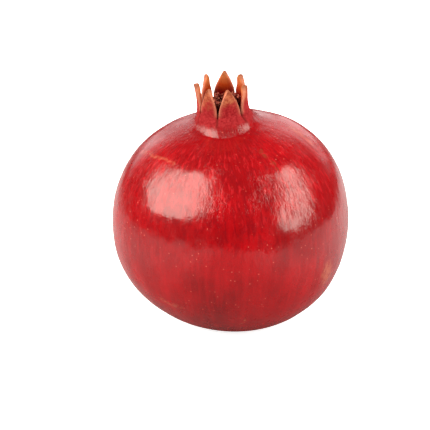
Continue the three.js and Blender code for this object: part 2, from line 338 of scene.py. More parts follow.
def sill_rise(number, across, z):
    """Each notch has its own height: how far its sill and the neck under it are raised."""
    near = LOBES[number if across < 0.5 else (number + 1) % len(LOBES)]["sill"]
    beside = math.exp(-((min(across, 1 - across) / 0.26) ** 2))
    return near * beside * ease(z, NOTCH_Z - 4, NOTCH_Z) * (1 - ease(z, NOTCH_Z, TIP_Z))

def grown(point, swell=0.0):
    """Where uneven growth puts a point of the straight fruit; swell moves it outwards first."""
    turn, radius, rise = turn_of(point), math.hypot(point.x, point.y), rise_at(point.z)
    in_cup = rise > 0 and radius < NECK_RADIUS - 1
    neck = 1.0 if in_cup else ease(point.z, COLLAR_Z, NECK_Z)
    rib_share = ease(rise, -0.9, 0.2) * (1 - ease(rise, 0.86, 0.97))
    out = radius + wave(turn, *RIBS) * rib_share
    if radius > 20:
        out += sum(wave(turn, *swelling) for swelling in SWELLINGS) * (1 - rise ** 4)
    fuller = fullness_radius(rise, FULLNESS + FULLER_SIDE * math.sin(math.radians(turn)))
    fuller /= fullness_radius(rise, FULLNESS)
    out *= mix(fuller, 1, max(neck, ease(rise, 0.8, 0.93)))
    lobe_up = clamp((point.z - NOTCH_Z) / (TIP_Z - NOTCH_Z))
    number, across = lobe_place(turn)
    lobe = LOBES[number]
    before, after = notch_drift(number), notch_drift(number + 1)
    middle = LOBES[0]["notch"] + PITCH * (number + 0.5) + (before + after) / 2
    out += lobe["curl"] * lobe_up ** 2 + swell
    if rise > 0 and not in_cup:
        out += neck_spread(turn, radius, point.z)
        sunk = CONE["drop"] * facing_front(turn) * (1 - neck) * (1 - ease(radius, 18, 36))
        point = point - Vector((0, 0, sunk))
    height = point.z + lobe["rise"] * lobe_up + sill_rise(number, across, point.z)
    turn += mix(before, after, ease(across, 0, 1)) * neck + (lobe["tip"] - middle) * lobe_up
    angle = math.radians(turn)
    return bent(Vector((out * math.sin(angle), -out * math.cos(angle), height)), neck)

# %% Lumps, folds and wrinkles finer than the CAD model's
def ripple(x, y, z, seed):
    """Smooth noise from -1 to 1."""
    return noise.noise(Vector((x + 17.3 * seed, y - 9.1 * seed, z + 4.7 * seed)))

def skin_swell(point, turn, radius, rise):
    """How far the skin of the dome stands out, in mm: never out at the resting ring."""
    share = ease(point.z, 0.6, 9)
    soft = 0.30 * ripple(point.x / 19, point.y / 19, point.z / 19, 1)
    soft += 0.13 * ripple(point.x / 8, point.y / 8, point.z / 8, 2)
    soft += 0.05 * ripple(point.x / 4, point.y / 4, point.z / 4, 3)
    angle = math.radians(turn)
    near_neck = ease(rise, 0.62, 0.9) * (1 - ease(point.z, NOTCH_Z, NOTCH_Z + 2))
    folds = 0.34 * ripple(2.6 * math.cos(angle), 2.6 * math.sin(angle), radius / 30, 4)
    folds += 0.16 * ripple(6 * math.cos(angle), 6 * math.sin(angle), radius / 22, 5)
    return share * (soft - 0.15) + near_neck * folds

def neck_swell(point, turn):
    """The neck's foot is seven-sided with a ridge under each notch, and the ridge ends in a groove above."""
    across = lobe_place(turn)[1]
    facet = math.cos(math.pi / len(LOBES)) / math.cos(math.radians((across - 0.5) * PITCH)) - 1
    foot = ease(point.z, COLLAR_Z - 1.5, COLLAR_Z + 0.6) * (1 - ease(point.z, NECK_Z, NOTCH_Z))
    groove = math.exp(-((min(across, 1 - across) * PITCH / 3.2) ** 2))
    upper = ease(point.z, NECK_Z - 0.4, NOTCH_Z - 0.6) * (1 - ease(point.z, NOTCH_Z - 0.5, NOTCH_Z + 3))
    return foot * (0.5 + facet * NECK_RADIUS) * 0.5 - upper * 0.3 * groove

def lobe_swell(point, turn, height):
    angle = math.radians(turn)
    lines = 0.12 * ripple(9 * math.cos(angle), 9 * math.sin(angle), point.z / 9, 6)
    lumps = 0.16 * ripple(point.x / 2.6, point.y / 2.6, point.z / 3.5, 7)
    return (lines + lumps) * (0.35 + 0.65 * height)

mark_names = ("crown", "neck", "inside", "margin", "crease", "rise")
marks = {name: rind.verts.layers.float.new(name) for name in mark_names}
grain = rind.verts.layers.float_vector.new("grain")

for vert in rind.verts:
    point = vert.co.copy()
    turn, radius, rise = turn_of(point), math.hypot(point.x, point.y), rise_at(point.z)
    number, across = lobe_place(turn)
    lobe_up = clamp((point.z - NOTCH_Z) / (TIP_Z - NOTCH_Z))
    outer, wall = crown_wall(point.z)
    in_cup = rise > 0 and radius < outer - wall / 2 and point.z > CUP_FLOOR_Z - 1
    from_middle = math.radians(abs(across - 0.5) * PITCH) * NECK_RADIUS
    from_crease = math.radians(min(across, 1 - across) * PITCH) * NECK_RADIUS
    vert[marks["crown"]] = lobe_up
    vert[marks["neck"]] = 1.0 if in_cup else ease(point.z, COLLAR_Z + 0.6, NECK_Z + 0.9)
    # Mask for painted shade in the fold under each notch, where the lobes part.
    vert[marks["crease"]] = math.exp(-((from_crease / 0.45) ** 2)) * ease(point.z, NOTCH_Z - 4, NOTCH_Z - 1)
    vert[marks["inside"]] = clamp((outer - radius) / wall) if in_cup else 0.0
    vert[marks["margin"]] = clamp(from_middle / lobe_half_width(point.z)) ** 6 * ease(lobe_up, 0, 0.15)
    vert[marks["rise"]] = rise
    angle = math.radians(turn)
    arc = math.atan2(point.z - EQUATOR_Z, radius) if not in_cup else math.pi / 2
    vert[grain] = Vector((math.cos(angle), math.sin(angle), arc))
    inner_share = vert[marks["inside"]]
    swell = neck_swell(point, turn) * (1 - inner_share)
    swell += skin_swell(point, turn, radius, rise) * (1 - inner_share) if not in_cup else 0
    if lobe_up > 0:
        swell += lobe_swell(point, turn, lobe_up)
    vert.co = grown(point, swell)

# %% Bring the rind to its place and measure it against the CAD body
def shift_into(bm, low, high):
    """Scale mm to m, and move a bmesh so its box shares the middle and the foot of the given box."""
    bmesh.ops.scale(bm, vec=(MM, MM, MM), verts=bm.verts)
    xs, ys, zs = zip(*(v.co for v in bm.verts))
    size = Vector((max(xs) - min(xs), max(ys) - min(ys), max(zs)))
    shrink = min(1, *[(high[i] - low[i]) / size[i] for i in range(3)])
    bmesh.ops.scale(bm, vec=(shrink,) * 3, verts=bm.verts)
    middle = Vector(((max(xs) + min(xs)) / 2, (max(ys) + min(ys)) / 2, 0)) * shrink
    move = Vector(((low.x + high.x) / 2, (low.y + high.y) / 2, 0)) - middle
    bmesh.ops.translate(bm, vec=move, verts=bm.verts)
    return shrink

print("scaled by", round(shift_into(rind, fruit_low, fruit_high), 4))
cad_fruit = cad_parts["fruit"]
cad_tree = BVHTree.FromObject(cad_fruit, bpy.context.evaluated_depsgraph_get())
strays = sorted(cad_tree.find_nearest(v.co)[3] for v in rind.verts)
usual, most = strays[len(strays) // 2] / MM, strays[-1] / MM
print("rind strays from the CAD body, mm: median", round(usual, 2), "most", round(most, 2))

def add_piece(name, mesh, *replaced):
    """Link a finished mesh as a piece on the one body, standing for the CAD nodes it replaces."""
    mesh.shade_smooth()
    piece = bpy.data.objects.new(name, mesh)
    bpy.context.scene.collection.objects.link(piece)
    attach(piece, "root")
    if replaced:
        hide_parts(*replaced)
    return piece

rind_piece = add_piece("rind_with_crown", mesh_from(rind, "rind_with_crown"), "fruit")
print("rind triangles:", sum(len(face.vertices) - 2 for face in rind_piece.data.polygons))

# %% [markdown]
# ## Finishes
# Every finish is a tree of nodes that reads the piece's own coordinates or the attributes noted
# above. A few small helpers keep the trees readable: each adds one node and hands back its output.

# %% Helpers for node trees
def rgb(red, green, blue):
    """A colour given as 0 to 255 display values, as the linear values that nodes use."""
    shares = [value / 255 for value in (red, green, blue)]
    return (*[c / 12.92 if c < 0.0405 else ((c + 0.055) / 1.055) ** 2.4 for c in shares], 1)

class Finish:
    """A material with its node tree and its shader."""

    def __init__(self, name, roughness, ior=1.45):
        self.material = bpy.data.materials.new(name)
        self.material.use_nodes = True
        self.tree = self.material.node_tree
        self.shader = self.tree.nodes["Principled BSDF"]
        self.shader.inputs["Roughness"].default_value = roughness
        self.shader.inputs["IOR"].default_value = ior
        self.place = self.tree.nodes.new("ShaderNodeTexCoord").outputs["Object"]

    def node(self, kind, inputs=(), **settings):
        made = self.tree.nodes.new(kind)
        for key, value in settings.items():
            setattr(made, key, value)
        for key, value in dict(inputs).items():
            if isinstance(value, bpy.types.NodeSocket):
                self.tree.links.new(value, made.inputs[key])
            else:
                made.inputs[key].default_value = value
        return made

    def attribute(self, name, vector=False):
        made = self.node("ShaderNodeAttribute", attribute_name=name)
        return made.outputs["Vector" if vector else "Fac"]

    def stretched(self, where, scale):
        return self.node("ShaderNodeMapping", {"Vector": where, "Scale": scale}).outputs["Vector"]

    def noise(self, where, scale, detail=3.0, rough=0.5, warp=0.0):
        settings = {"Vector": where, "Scale": scale, "Detail": detail, "Roughness": rough, "Distortion": warp}
        return self.node("ShaderNodeTexNoise", settings).outputs["Fac"]

    def maths(self, operation, *values):
        """One sum; a plain sum or product is kept between 0 and 1."""
        made = self.node("ShaderNodeMath", dict(enumerate(values)), operation=operation)
        made.use_clamp = operation in ("ADD", "MULTIPLY")
        return made.outputs["Value"]

    def between(self, value, low, high, to_low=0.0, to_high=1.0):
        """Eases a value from low to high into a new range."""
        inputs = {"Value": value, "From Min": low, "From Max": high, "To Min": to_low, "To Max": to_high}
        return self.node("ShaderNodeMapRange", inputs, interpolation_type="SMOOTHSTEP").outputs["Result"]

    def ramp(self, value, *stops):
        made = self.node("ShaderNodeValToRGB", {"Fac": value})
        elements = made.color_ramp.elements
        while len(elements) < len(stops):
            elements.new(1.0)
        for element, (position, colour) in zip(elements, stops):
            element.position, element.color = position, colour
        return made.outputs["Color"]

    def mixed(self, share, first, second):
        made = self.node("ShaderNodeMix", data_type="RGBA")
        for key, value in zip((0, 6, 7), (share, first, second)):
            if isinstance(value, bpy.types.NodeSocket):
                self.tree.links.new(value, made.inputs[key])
            else:
                made.inputs[key].default_value = value
        return made.outputs[2]

    def bump(self, height, depth_mm, under=None):
        inputs = {"Height": height, "Distance": depth_mm * MM, "Strength": 1.0}
        if under is not None:
            inputs["Normal"] = under
        return self.node("ShaderNodeBump", inputs).outputs["Normal"]

    def done(self, colour, roughness=None, normal=None):
        for key, value in (("Base Color", colour), ("Roughness", roughness), ("Normal", normal)):
            if value is not None:
                self.tree.links.new(value, self.shader.inputs[key])
        return self.material

# %% [markdown]
# ## The rind's colour
# The skin is a deep red that the sun has bleached in places. Pale streaks and short dash marks run
# from the crown to the stem, as the skin stretched that way while the fruit grew, and tiny corky
# breathing spots are scattered over it. On the upper half the pinkish dash marks are partly painted
# glints of the soft boxes on the skin's ripples, and the darker red mottling there is partly painted
# dark reflection. A painted shade darkens the fold under each notch of the crown. The neck is drier,
# and the crown has dried to tan at its tips and keeps a dark wine colour deep inside. The gloss is a
# coat of wax over a duller skin, and it thins out on the dry neck. A faint red sheen brightens the
# rims, where the light grazes the skin.

# %% Skin and crown in one finish
skin = Finish("pomegranate_rind", roughness=0.3, ior=1.15)
skin.shader.inputs["Coat Roughness"].default_value = 0.12
skin.shader.inputs["Coat IOR"].default_value = 1.6
skin.shader.inputs["Sheen Weight"].default_value = 0.25
skin.shader.inputs["Sheen Roughness"].default_value = 0.45
skin.shader.inputs["Sheen Tint"].default_value = rgb(255, 70, 66)
along = skin.attribute("grain", vector=True)
rise_share = skin.attribute("rise")
crown_share, neck_share = skin.attribute("crown"), skin.attribute("neck")
inside_share, margin_share = skin.attribute("inside"), skin.attribute("margin")

patches = skin.between(skin.noise(skin.place, 34, 3, 0.55, 0.4), 0.38, 0.66)
skin_colour = skin.mixed(patches, rgb(126, 0, 4), rgb(156, 0, 7))

broad = skin.between(skin.noise(skin.stretched(along, (13, 13, 1.2)), 1, 4, 0.6), 0.45, 0.75)
broad = skin.maths("MULTIPLY", broad, skin.between(rise_share, 0.3, -0.1, 0.3, 0.7))
skin_colour = skin.mixed(broad, skin_colour, rgb(170, 5, 13))
fine = skin.between(skin.noise(skin.stretched(along, (36, 36, 3.2)), 1, 4, 0.65), 0.5, 0.72)
skin_colour = skin.mixed(skin.maths("MULTIPLY", fine, 0.22), skin_colour, rgb(188, 10, 18))

# Darker red mottling, mostly on the upper half: partly the skin's own tone, partly painted dark reflection of
# its ripples.
mottles_and_dark_reflection = skin.between(skin.noise(skin.stretched(along, (24, 24, 9)), 1, 4, 0.75, 0.8), 0.47, 0.6)
mottle_and_reflection_zone = skin.between(rise_share, -0.15, 0.35, 0.12, 1)
mottles_and_dark_reflection = skin.maths("MULTIPLY", skin.maths("MULTIPLY", mottles_and_dark_reflection, mottle_and_reflection_zone), 0.6)
skin_colour = skin.mixed(mottles_and_dark_reflection, skin_colour, rgb(112, 0, 8))

# Pinkish dash marks on the upper half: partly pale streaks in the skin, partly painted glints of the soft
# boxes on its ripples; they fade out just under the neck.
dashes_and_painted_glints = skin.between(skin.noise(skin.stretched(along, (30, 30, 11)), 1, 3, 0.6, 0.6), 0.52, 0.68)
below_neck = skin.between(rise_share, 0.96, 0.82, 0.2, 1)
dash_and_glint_zone = skin.maths("MULTIPLY", skin.between(rise_share, 0.1, 0.6), below_neck)
dashes_and_painted_glints = skin.maths("MULTIPLY", skin.maths("MULTIPLY", dashes_and_painted_glints, dash_and_glint_zone), 0.42)
skin_colour = skin.mixed(dashes_and_painted_glints, skin_colour, rgb(204, 34, 40))

cells = skin.node("ShaderNodeTexVoronoi", {"Vector": skin.place, "Scale": 400}, feature="F1")
spots = skin.between(cells.outputs["Distance"], 0.13, 0.06)
spot_zone = skin.between(skin.noise(skin.place, 70, 2), 0.36, 0.56)
spots = skin.maths("MULTIPLY", spots, spot_zone)
skin_colour = skin.mixed(skin.maths("MULTIPLY", spots, 0.55), skin_colour, rgb(218, 106, 88))

# %% [markdown]
# ## Marks on the skin
# A fruit picks up scars and rubbed patches on the tree. Each mark here follows a short line on the
# skin, and its edge is roughened with noise. The line's ends are given as a turn and a height, and a
# level ray from the fruit's axis finds them on the finished skin.

# %% Scars, scratches and the brown ring round the stem
skin_tree = BVHTree.FromObject(rind_piece, bpy.context.evaluated_depsgraph_get())

def on_skin(turn, height):
    """The point of the skin at a turn in degrees and a height in mm."""
    outward = Vector((math.sin(math.radians(turn)), -math.cos(math.radians(turn)), 0))
    return skin_tree.ray_cast(Vector((0, 0, height * MM)), outward)[0]

def off_line(where, start, end):
    """Distance from the line between two points; the clamped product keeps to the line's ends."""
    line = end - start
    reached = skin.node("ShaderNodeVectorMath", {0: where, 1: start}, operation="SUBTRACT").outputs["Vector"]
    along_line = {0: reached, 1: line / line.length_squared}
    share = skin.node("ShaderNodeVectorMath", along_line, operation="DOT_PRODUCT")
    share = skin.maths("MULTIPLY", share.outputs["Value"], 1.0)
    foot = skin.node("ShaderNodeVectorMath", {0: line, "Scale": share}, operation="SCALE").outputs["Vector"]
    return skin.node("ShaderNodeVectorMath", {0: reached, 1: foot}, operation="DISTANCE").outputs["Value"]

shifted = skin.node("ShaderNodeTexNoise", {"Vector": skin.place, "Scale": 260, "Detail": 3}).outputs["Color"]
shifted = skin.node("ShaderNodeVectorMath", {0: shifted, 1: (0.5, 0.5, 0.5)}, operation="SUBTRACT")
wobble = {0: shifted.outputs["Vector"], 1: (4 * MM,) * 3, 2: skin.place}
wobbled = skin.node("ShaderNodeVectorMath", wobble, operation="MULTIPLY_ADD").outputs["Vector"]
broken = skin.between(skin.noise(skin.place, 700, 3, 0.6), 0.35, 0.55)
BLEMISHES = [
    {"ends": ((27, 80), (31, 75)), "reach": 1.3, "strength": 0.75, "colour": rgb(112, 44, 24)},
    {"ends": ((-84, 73), (-61, 75)), "reach": 1.4, "strength": 0.28, "colour": rgb(200, 116, 84)},
    {"ends": ((-61, 75), (-44, 75)), "reach": 1.2, "strength": 0.28, "colour": rgb(200, 116, 84)},
    {"ends": ((90, 81), (82, 77)), "reach": 3.2, "strength": 0.4, "colour": rgb(180, 96, 62)},
    {"ends": ((56, 28), (53, 33)), "reach": 5.0, "strength": 0.3, "colour": rgb(214, 140, 98)},
    {"ends": ((7, 14), (8, 16)), "reach": 0.9, "strength": 0.35, "colour": rgb(206, 136, 92)},
    {"ends": ((-41, 22), (-29, 20)), "reach": 1.6, "strength": 0.2, "colour": rgb(212, 130, 96)},
    {"ends": ((170, 74), (156, 68)), "reach": 1.6, "strength": 0.5, "colour": rgb(186, 110, 70)},
]
for mark in BLEMISHES:
    start, end = [on_skin(turn, height) for turn, height in mark["ends"]]
    reach = mark["reach"] * MM
    share = skin.between(off_line(wobbled, start, end), reach, reach * 0.2, 0, mark["strength"])
    skin_colour = skin.mixed(skin.maths("MULTIPLY", share, broken), skin_colour, mark["colour"])
print("marks on the skin:", len(BLEMISHES))

stub_low, stub_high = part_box("stem_stub")
stub_foot = Vector(((stub_low.x + stub_high.x) / 2, (stub_low.y + stub_high.y) / 2, 0))
from_stem = off_line(wobbled, stub_foot, stub_foot + Vector((0, 0, 2 * MM)))
from_stem = skin.maths("MULTIPLY", from_stem, 1 / (20 * MM))
cork = skin.noise(skin.place, 600, 4, 0.65)
stem_brown = skin.ramp(cork, (0.3, rgb(122, 62, 36)), (0.7, rgb(190, 124, 78)))
skin_colour = skin.mixed(skin.between(from_stem, 0.62, 0.3, 0, 0.85), skin_colour, stem_brown)

# %% Neck, crown and the inside of the cup
neck_fuzz = skin.between(skin.noise(skin.place, 1100, 6, 0.8), 0.3, 0.72)
neck_colour = skin.mixed(neck_fuzz, rgb(110, 6, 13), rgb(164, 46, 48))
skin_colour = skin.mixed(skin.between(neck_share, 0.25, 1.0, 0, 0.85), skin_colour, neck_colour)

dry_fuzz = skin.between(skin.noise(skin.place, 900, 4, 0.7), 0.35, 0.7)
dry = skin.mixed(dry_fuzz, rgb(130, 52, 34), rgb(178, 102, 68))
dry_edge = skin.maths("MULTIPLY_ADD", skin.noise(skin.place, 420, 3), 0.9, crown_share)
outer_dry = skin.between(dry_edge, 0.7, 1.25)
outer_colour = skin.mixed(outer_dry, skin_colour, dry)
outer_colour = skin.mixed(skin.maths("MULTIPLY", margin_share, 0.7), outer_colour, rgb(198, 128, 100))

inner_height = skin.maths("ADD", crown_share, skin.maths("MULTIPLY", skin.noise(skin.place, 500, 3), 0.12))
inner_colour = skin.ramp(inner_height, (0.0, rgb(44, 4, 3)), (0.36, rgb(114, 8, 4)), (0.62, rgb(168, 58, 14)),
                         (1.0, rgb(196, 116, 66)))
# Painted shade: the fold under each notch is darkened to a dark brown-red.
crease_painted_shade = skin.maths("MULTIPLY", skin.attribute("crease"), 0.75)
outer_colour = skin.mixed(crease_painted_shade, outer_colour, rgb(84, 18, 12))
rind_colour = skin.mixed(inside_share, outer_colour, inner_colour)
scorch_patches = skin.between(skin.noise(skin.place, 300, 2), 0.25, 0.55)
scorched = skin.maths("MULTIPLY", skin.between(crown_share, 0.78, 1.0), scorch_patches)
rind_colour = skin.mixed(skin.maths("MULTIPLY", scorched, 0.8), rind_colour, rgb(110, 60, 38))

# %% Ripples in the skin, and its wax coat
ripple_zone = skin.between(skin.noise(skin.place, 75, 2), 0.35, 0.6, 0.2, 1.0)
ripples = skin.noise(skin.stretched(along, (25, 25, 12)), 1, 3, 0.6, 0.4)
crease_noise = skin.noise(skin.stretched(along, (40, 40, 16)), 1, 3, 0.6, 0.8)
creases = skin.between(skin.maths("ABSOLUTE", skin.maths("SUBTRACT", crease_noise, 0.5)), 0.0, 0.035)
ripples = skin.maths("MULTIPLY", skin.maths("MULTIPLY_ADD", creases, 0.07, ripples), ripple_zone)
pores = skin.noise(skin.place, 1400, 2, 0.5)
rind_normal = skin.bump(pores, 0.012, skin.bump(ripples, 0.2))
neck_edge = skin.maths("MULTIPLY_ADD", skin.noise(skin.place, 330, 3, 0.6), 0.7, neck_share)
dry_share = skin.maths("ADD", skin.between(neck_edge, 0.4, 1.25, 0, 0.75), crown_share)
rind_rough = skin.between(skin.noise(skin.place, 260, 3), 0.3, 0.7, 0.26, 0.36)
rind_rough = skin.mixed(dry_share, rind_rough, (0.8, 0.8, 0.8, 1))
wax = skin.between(dry_share, 0.75, 0.0)
skin.tree.links.new(wax, skin.shader.inputs["Coat Weight"])
skin.tree.links.new(rind_normal, skin.shader.inputs["Coat Normal"])
rind_piece.data.materials.append(skin.done(rind_colour, rind_rough, rind_normal))

# %% [markdown]
# ## Dried stamens
# Inside the crown stand the stamens that once shed pollen: thin filaments, now dry, curled and dark,
# each with a shrivelled two-lobed anther on its end. A filament is a round face extruded step by step
# along a path, which gives a closed tube that can taper and curl. Each stamen keeps to the foot and
# the head of its CAD node.

# %% Paths and tubes
def curve_through(points, steps):
    """A smooth path through points, with a number of steps between each two."""
    padded = [points[0] * 2 - points[1], *points, points[-1] * 2 - points[-2]]
    path = []
    for a, b, c, d in zip(padded, padded[1:], padded[2:], padded[3:]):
        for step in range(steps):
            t = step / steps
            bend, twist = 2 * a - 5 * b + 4 * c - d, 3 * b - a - 3 * c + d
            path.append(0.5 * (2 * b + (c - a) * t + bend * t * t + twist * t ** 3))
    return path + [points[-1]]

def extrude_tube(bm, path, radii, sides, tip_mark):
    """Extrude a round face along a path; the mark grows from 0 at the foot to 1 at the end."""
    ahead = (path[1] - path[0]).normalized()
    facing = Matrix.Translation(path[0]) @ ahead.to_track_quat("Z", "Y").to_matrix().to_4x4()
    ring = bmesh.ops.create_circle(bm, cap_ends=True, segments=sides, radius=radii[0], matrix=facing)["verts"]
    for vert in ring:
        vert[tip_mark] = 0.0
    face = ring[0].link_faces[0]
    for step in range(1, len(path)):
        made = bmesh.ops.extrude_face_region(bm, geom=[face])["geom"]
        face = next(part for part in made if isinstance(part, bmesh.types.BMFace))
        onward = (path[min(step + 1, len(path) - 1)] - path[step - 1]).normalized()
        swing = ahead.rotation_difference(onward).to_matrix()
        for vert in face.verts:
            vert.co = path[step] + swing @ (vert.co - path[step - 1]) * (radii[step] / radii[step - 1])
            vert[tip_mark] = step / (len(path) - 1)
        ahead = onward

def curled_path(foot, head, bow, curl_radius, curl_turns, steps=4):
    """From foot to head, bowed to one side, ending in a curl that bends over in the same direction."""
    rise = head - foot
    points = [foot, foot + rise * 0.35 + bow * 0.7, foot + rise * 0.72 + bow, head]
    path = curve_through(points, steps)
    side = bow.normalized() if bow.length > 1e-9 else Vector((1, 0, 0))
    up = rise.normalized()
    for step in range(1, 9):
        angle = math.tau * curl_turns * step / 8
        reach = curl_radius * (1 - 0.35 * step / 8)
        path.append(head + up * math.sin(angle) * reach + side * (1 - math.cos(angle)) * reach)
    return path

def ends_of(node_name, count=6):
    """The middle of the lowest and of the highest corners of a CAD node."""
    node_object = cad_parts[node_name]
    corners = [node_object.matrix_world @ vert.co for vert in node_object.data.vertices]
    corners.sort(key=lambda corner: corner.z)
    return sum(corners[:count], Vector()) / count, sum(corners[-count:], Vector()) / count

# %% One dried stamen for each CAD stamen
def add_anther(bm, middle, length, direction, tip_mark):
    """A shrivelled anther: a ball drawn long, with a groove down the side that splits it in two."""
    facing = Matrix.Translation(middle) @ direction.to_track_quat("Z", "Y").to_matrix().to_4x4()
    ball = bmesh.ops.create_uvsphere(bm, u_segments=12, v_segments=9, radius=1)["verts"]
    for vert in ball:
        x, y, z = vert.co
        groove = 1 - 0.4 * math.exp(-((x / 0.3) ** 2)) * (1 - 0.5 * z * z)
        wither = 1 + 0.22 * ripple(x * 2 + middle.x / MM, y * 2 + middle.y / MM, z * 2, 11)
        bent_over = 0.25 * z * z
        vert.co = Vector((x * 0.62, y * 0.4 * groove + bent_over * 0.4, z)) * wither * length / 2
        vert[tip_mark] = 0.45 + 0.3 * abs(z)
    bmesh.ops.transform(bm, matrix=facing, verts=ball)

def stamen_mesh(name, seed):
    pick = random.Random(seed)
    foot, head = ends_of(name)
    inward = Vector((foot.x, foot.y, 0)) - Vector((head.x, head.y, 0))
    angle = pick.uniform(0, math.tau)
    side = Vector((math.cos(angle), math.sin(angle), 0))
    bow = side * pick.uniform(0.25, 0.6) * MM - inward * 0.1
    head = head - (head - foot).normalized() * 0.9 * MM
    path = curled_path(foot, head, bow, pick.uniform(0.4, 0.6) * MM, pick.uniform(0.16, 0.34))
    bm = bmesh.new()
    tip_mark = bm.verts.layers.float.new("tip")
    radii = [mix(0.27, 0.15, step / (len(path) - 1)) * MM for step in range(len(path))]
    extrude_tube(bm, path, radii, 8, tip_mark)
    add_anther(bm, path[-1], pick.uniform(1.2, 1.6) * MM, path[-1] - path[-2], tip_mark)
    return mesh_from(bm, name + "_dried")

stamen_names = sorted(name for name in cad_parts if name.startswith("stamen_"))
stamens = []
for seed, name in enumerate(stamen_names):
    stamen = add_piece(name + "_dried", stamen_mesh(name, 100 + seed), name)
    stamens.append(stamen)
print("stamens:", len(stamens), "faces in one:", len(stamens[0].data.polygons))

# %% The tangle of broken filaments between them
def crown_frame():
    """Where the cup's floor and its axis are, measured from the style that stands in the middle."""
    foot, top = ends_of("style")
    return foot, (top - foot).normalized()

cup_floor, cup_axis = crown_frame()

def cup_point(radius, turn, height):
    """A point in the leaning cup, in mm from the middle of its floor."""
    angle = math.radians(turn)
    upright = Vector((radius * math.sin(angle), -radius * math.cos(angle), height)) * MM
    return cup_floor + Vector((0, 0, 1)).rotation_difference(cup_axis).to_matrix() @ upright

TANGLE_COUNT, TANGLE_RADIUS, CUP_FLAT_RADIUS = 96, 7.4, 5.5
GOLDEN_TURN = 137.5
tangle = bmesh.new()
tangle_tip = tangle.verts.layers.float.new("tip")
pick = random.Random(7)
for number in range(TANGLE_COUNT):
    turn = number * GOLDEN_TURN
    radius = TANGLE_RADIUS * math.sqrt((number + 3) / (TANGLE_COUNT + 3))
    up_corner = clamp((radius - CUP_FLAT_RADIUS) / (TANGLE_RADIUS - CUP_FLAT_RADIUS))
    top_height = pick.uniform(7.2, 11.2) - 1.2 * (radius / TANGLE_RADIUS) ** 2
    foot = cup_point(radius, turn, mix(0.3, 3.0, up_corner))
    head = cup_point(radius * pick.uniform(0.72, 0.98), turn + pick.uniform(-14, 14), top_height)
    angle = pick.uniform(0, math.tau)
    bow = Vector((math.cos(angle), math.sin(angle), 0)) * pick.uniform(0.2, 0.7) * MM
    path = curled_path(foot, head, bow, pick.uniform(0.35, 0.8) * MM, pick.uniform(0.2, 0.62), steps=3)
    radii = [mix(0.17, 0.09, step / (len(path) - 1)) * MM for step in range(len(path))]
    extrude_tube(tangle, path, radii, 5, tangle_tip)
tangle_piece = add_piece("filament_tangle", mesh_from(tangle, "filament_tangle"))
print("tangle faces:", len(tangle_piece.data.polygons))

# %% [markdown]
# ## Style and stem stub
# The style is the thicker stalk in the middle, with a knob where pollen once landed. Under the fruit,
# in the hollow, is the cut end of the stem it hung from. Both are turned from an outline and then
# withered with noise.

# %% Style
def style_mesh():
    foot, top = ends_of("style", 10)
    length = (top - foot).length / MM
    stalk = [(0, 0), (0.95, 0), (1.0, 0.25), (0.8, 0.9), (0.6, 2.0), (0.5, 3.6), (0.46, 5.2)]
    knob = [(0.5, 1.7), (0.66, 1.25), (0.78, 0.85), (0.74, 0.4), (0.5, 0.12), (0, 0.05)]
    shape = stalk + [(radius, length - below_top) for radius, below_top in knob]
    bm = spin_outline(shape, 20)
    tip_mark = bm.verts.layers.float.new("tip")
    for vert in bm.verts:
        x, y, z = vert.co
        flutes = 1 + 0.08 * math.cos(5 * math.atan2(y, x)) + 0.1 * ripple(x, y, z, 12)
        sway = 0.25 * math.sin(z / length * 4)
        vert.co = Vector((x * flutes + sway, y * flutes - sway * 0.5, z)) * MM
        vert[tip_mark] = 0.25 * z / length
    turned = Vector((0, 0, 1)).rotation_difference((top - foot).normalized()).to_matrix().to_4x4()
    bmesh.ops.transform(bm, matrix=Matrix.Translation(foot) @ turned, verts=bm.verts)
    return mesh_from(smoothed(mesh_from(bm, "style_cage"), 1), "style_dried")

style_piece = add_piece("style_dried", style_mesh(), "style")

# %% Stem stub
def stub_mesh():
    radius, height = (stub_high.x - stub_low.x) / 2 / MM, (stub_high.z - stub_low.z) / MM
    cut_face = [(0, 0.28), (0.35, 0.25), (0.55, 0.1), (radius * 0.5, 0.08), (radius * 0.8, 0.02)]
    bark = [(radius * 0.93, 0.1), (radius * 0.985, 0.3), (radius * 0.96, 0.7), (radius * 0.98, height)]
    shape = cut_face + bark + [(0, height)]
    bm = spin_outline(shape, 48)
    for vert in bm.verts:
        x, y, z = vert.co
        edge = clamp(math.hypot(x, y) / radius)
        ragged = 1 - 0.05 * edge * (1 + ripple(x * 1.4, y * 1.4, z * 0.5, 13))
        cut = 0.1 * (1 + ripple(x * 1.1, y * 3.2, 0, 14)) * (z < height / 2)
        vert.co = Vector((x * ragged, y * ragged, min(height, z + cut))) * MM
    bmesh.ops.translate(bm, vec=stub_foot + Vector((0, 0, stub_low.z)), verts=bm.verts)
    return mesh_from(smoothed(mesh_from(bm, "stub_cage"), 1), "stem_stub_cut")

stub_piece = add_piece("stem_stub_cut", stub_mesh(), "stem_stub")

# %% Finishes of the dried parts
filament = Finish("dried_filament", roughness=0.7, ior=1.4)
tip_share = filament.attribute("tip")
mottle = filament.noise(filament.place, 900, 3, 0.6)
mottle_tone = filament.maths("MULTIPLY", filament.maths("SUBTRACT", mottle, 0.4), 0.6)
filament_tone = filament.maths("ADD", tip_share, mottle_tone)
filament_colour = filament.ramp(filament_tone, (0.0, rgb(40, 8, 5)), (0.45, rgb(92, 22, 14)),
                                (0.8, rgb(158, 66, 46)), (1.0, rgb(206, 128, 96)))
filament_rough = filament.between(mottle, 0.3, 0.7, 0.55, 0.8)
filament.done(filament_colour, filament_rough, filament.bump(mottle, 0.12))
for piece in (*stamens, tangle_piece):
    piece.data.materials.append(filament.material)

withered = Finish("withered_style", roughness=0.7, ior=1.4)
lines = withered.noise(withered.stretched(withered.place, (1400, 1400, 260)), 1, 3, 0.6)
withered_colour = withered.ramp(lines, (0.3, rgb(44, 12, 8)), (0.7, rgb(112, 44, 28)))
withered_rough = withered.between(lines, 0.3, 0.7, 0.6, 0.85)
withered.done(withered_colour, withered_rough, withered.bump(lines, 0.15))
style_piece.data.materials.append(withered.material)

